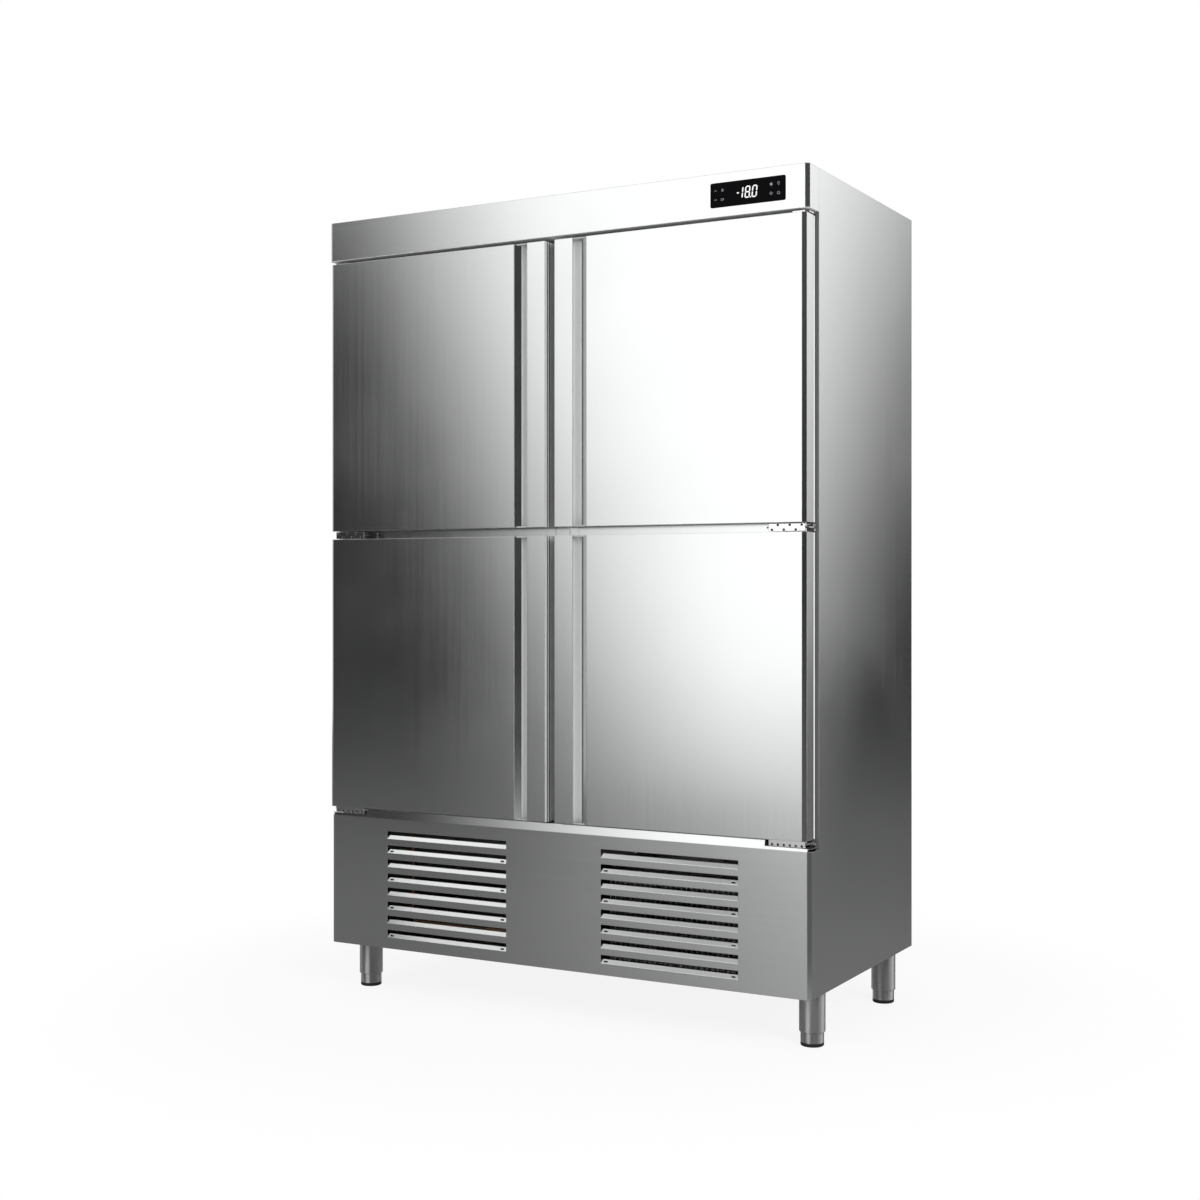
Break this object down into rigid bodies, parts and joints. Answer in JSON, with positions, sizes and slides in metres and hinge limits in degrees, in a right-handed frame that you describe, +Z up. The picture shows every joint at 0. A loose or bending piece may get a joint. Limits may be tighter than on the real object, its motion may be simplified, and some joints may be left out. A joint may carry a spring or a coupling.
{
  "type": "upright freezer cabinet",
  "caption": "Upright stainless steel catering freezer cabinet with half doors in two columns, recessed full-height handles, louvred machine panel, header display and levelling feet.",
  "frame": {"origin": "on the floor, under the middle of the cabinet's width and depth", "axes": "+X to the right seen from the front, +Y to the back, +Z up"},
  "size_m": [1.388, 0.726, 2.073],
  "materials": {
    "stainless": "brushed",
    "inner_steel": "satin",
    "bright_steel": "polished",
    "leg_steel": "satin",
    "galvanised": "satin",
    "foam": "matte",
    "gasket": "matte",
    "display_glass": "gloss",
    "black_plastic": "matte",
    "grey_plastic": "satin",
    "shelf_coating": "satin",
    "fins": "satin",
    "copper": "satin",
    "black_paint": "satin"
  },
  "bodies": {
    "cabinet": {"side_panels": "stainless", "back_panel": "galvanised", "top_panel": "stainless", "base_panel": "galvanised", "insulation_foam": "foam", "inner_liner": "inner_steel", "front_frame": "stainless", "header_panel": "stainless", "display_panel": "display_glass", "controller_housing": "black_plastic", "grille_panel": "stainless", "hinge_brackets": "bright_steel", "hinge_pins": "bright_steel", "hinge_screws": "bright_steel", "shelf_uprights": "inner_steel", "shelf_supports": "inner_steel", "wire_shelves": "shelf_coating", "evaporator_coil": "fins", "evaporator_cover": "inner_steel", "fan_guards": "shelf_coating", "fan_motors": "black_plastic", "drain_pipe": "grey_plastic", "compressor": "black_paint", "condenser_coil": "fins", "fan_shroud": "galvanised", "refrigerant_pipes": "copper", "evaporation_tray": "grey_plastic", "cable_gland": "black_plastic", "leg_tubes": "leg_steel"},
    "door_upper_left": {"door_upper_left_skin": "stainless", "door_upper_left_handle": "stainless", "door_upper_left_caps": "grey_plastic", "door_upper_left_liner": "inner_steel", "door_upper_left_core": "foam", "door_upper_left_gasket": "gasket"},
    "door_upper_right": {"door_upper_right_skin": "stainless", "door_upper_right_handle": "stainless", "door_upper_right_caps": "grey_plastic", "door_upper_right_liner": "inner_steel", "door_upper_right_core": "foam", "door_upper_right_gasket": "gasket"},
    "door_lower_left": {"door_lower_left_skin": "stainless", "door_lower_left_handle": "stainless", "door_lower_left_caps": "grey_plastic", "door_lower_left_liner": "inner_steel", "door_lower_left_core": "foam", "door_lower_left_gasket": "gasket"},
    "door_lower_right": {"door_lower_right_skin": "stainless", "door_lower_right_handle": "stainless", "door_lower_right_caps": "grey_plastic", "door_lower_right_liner": "inner_steel", "door_lower_right_core": "foam", "door_lower_right_gasket": "gasket"},
    "foot_front_left": {"foot_front_left": "leg_steel"},
    "foot_front_right": {"foot_front_right": "leg_steel"},
    "foot_rear_left": {"foot_rear_left": "leg_steel"},
    "foot_rear_right": {"foot_rear_right": "leg_steel"},
    "evaporator_fan_left": {"evaporator_fan_left": "black_plastic"},
    "evaporator_fan_right": {"evaporator_fan_right": "black_plastic"},
    "condenser_fan": {"condenser_fan": "black_plastic"}
  },
  "joints": [
    {"name": "door_upper_left_hinge", "type": "hinge", "parent": "cabinet", "child": "door_upper_left", "pos_m": [-0.6696, -0.334, 1.2425], "axis": [0, 0, -1], "range_deg": [0, 105], "stiffness_Nm_per_rad": 1, "springref_deg": -17.19},
    {"name": "door_upper_right_hinge", "type": "hinge", "parent": "cabinet", "child": "door_upper_right", "pos_m": [0.6696, -0.334, 1.2425], "axis": [0, 0, 1], "range_deg": [0, 105], "stiffness_Nm_per_rad": 1, "springref_deg": -17.19},
    {"name": "door_lower_left_hinge", "type": "hinge", "parent": "cabinet", "child": "door_lower_left", "pos_m": [-0.6696, -0.334, 0.503], "axis": [0, 0, -1], "range_deg": [0, 105], "stiffness_Nm_per_rad": 1, "springref_deg": -17.19},
    {"name": "door_lower_right_hinge", "type": "hinge", "parent": "cabinet", "child": "door_lower_right", "pos_m": [0.6696, -0.334, 0.503], "axis": [0, 0, 1], "range_deg": [0, 105], "stiffness_Nm_per_rad": 1, "springref_deg": -17.19},
    {"name": "foot_front_left_height", "type": "slide", "parent": "cabinet", "child": "foot_front_left", "axis": [0, 0, -1], "range_m": [0, 0.05]},
    {"name": "foot_front_right_height", "type": "slide", "parent": "cabinet", "child": "foot_front_right", "axis": [0, 0, -1], "range_m": [0, 0.05]},
    {"name": "foot_rear_left_height", "type": "slide", "parent": "cabinet", "child": "foot_rear_left", "axis": [0, 0, -1], "range_m": [0, 0.05]},
    {"name": "foot_rear_right_height", "type": "slide", "parent": "cabinet", "child": "foot_rear_right", "axis": [0, 0, -1], "range_m": [0, 0.05]},
    {"name": "evaporator_fan_left_spin", "type": "hinge", "parent": "cabinet", "child": "evaporator_fan_left", "pos_m": [-0.26, -0.097, 1.83], "axis": [0, 1, 0], "continuous": true},
    {"name": "evaporator_fan_right_spin", "type": "hinge", "parent": "cabinet", "child": "evaporator_fan_right", "pos_m": [0.26, -0.097, 1.83], "axis": [0, 1, 0], "continuous": true},
    {"name": "condenser_fan_spin", "type": "hinge", "parent": "cabinet", "child": "condenser_fan", "pos_m": [0.325, -0.215, 0.266], "axis": [0, 1, 0], "continuous": true}
  ]
}
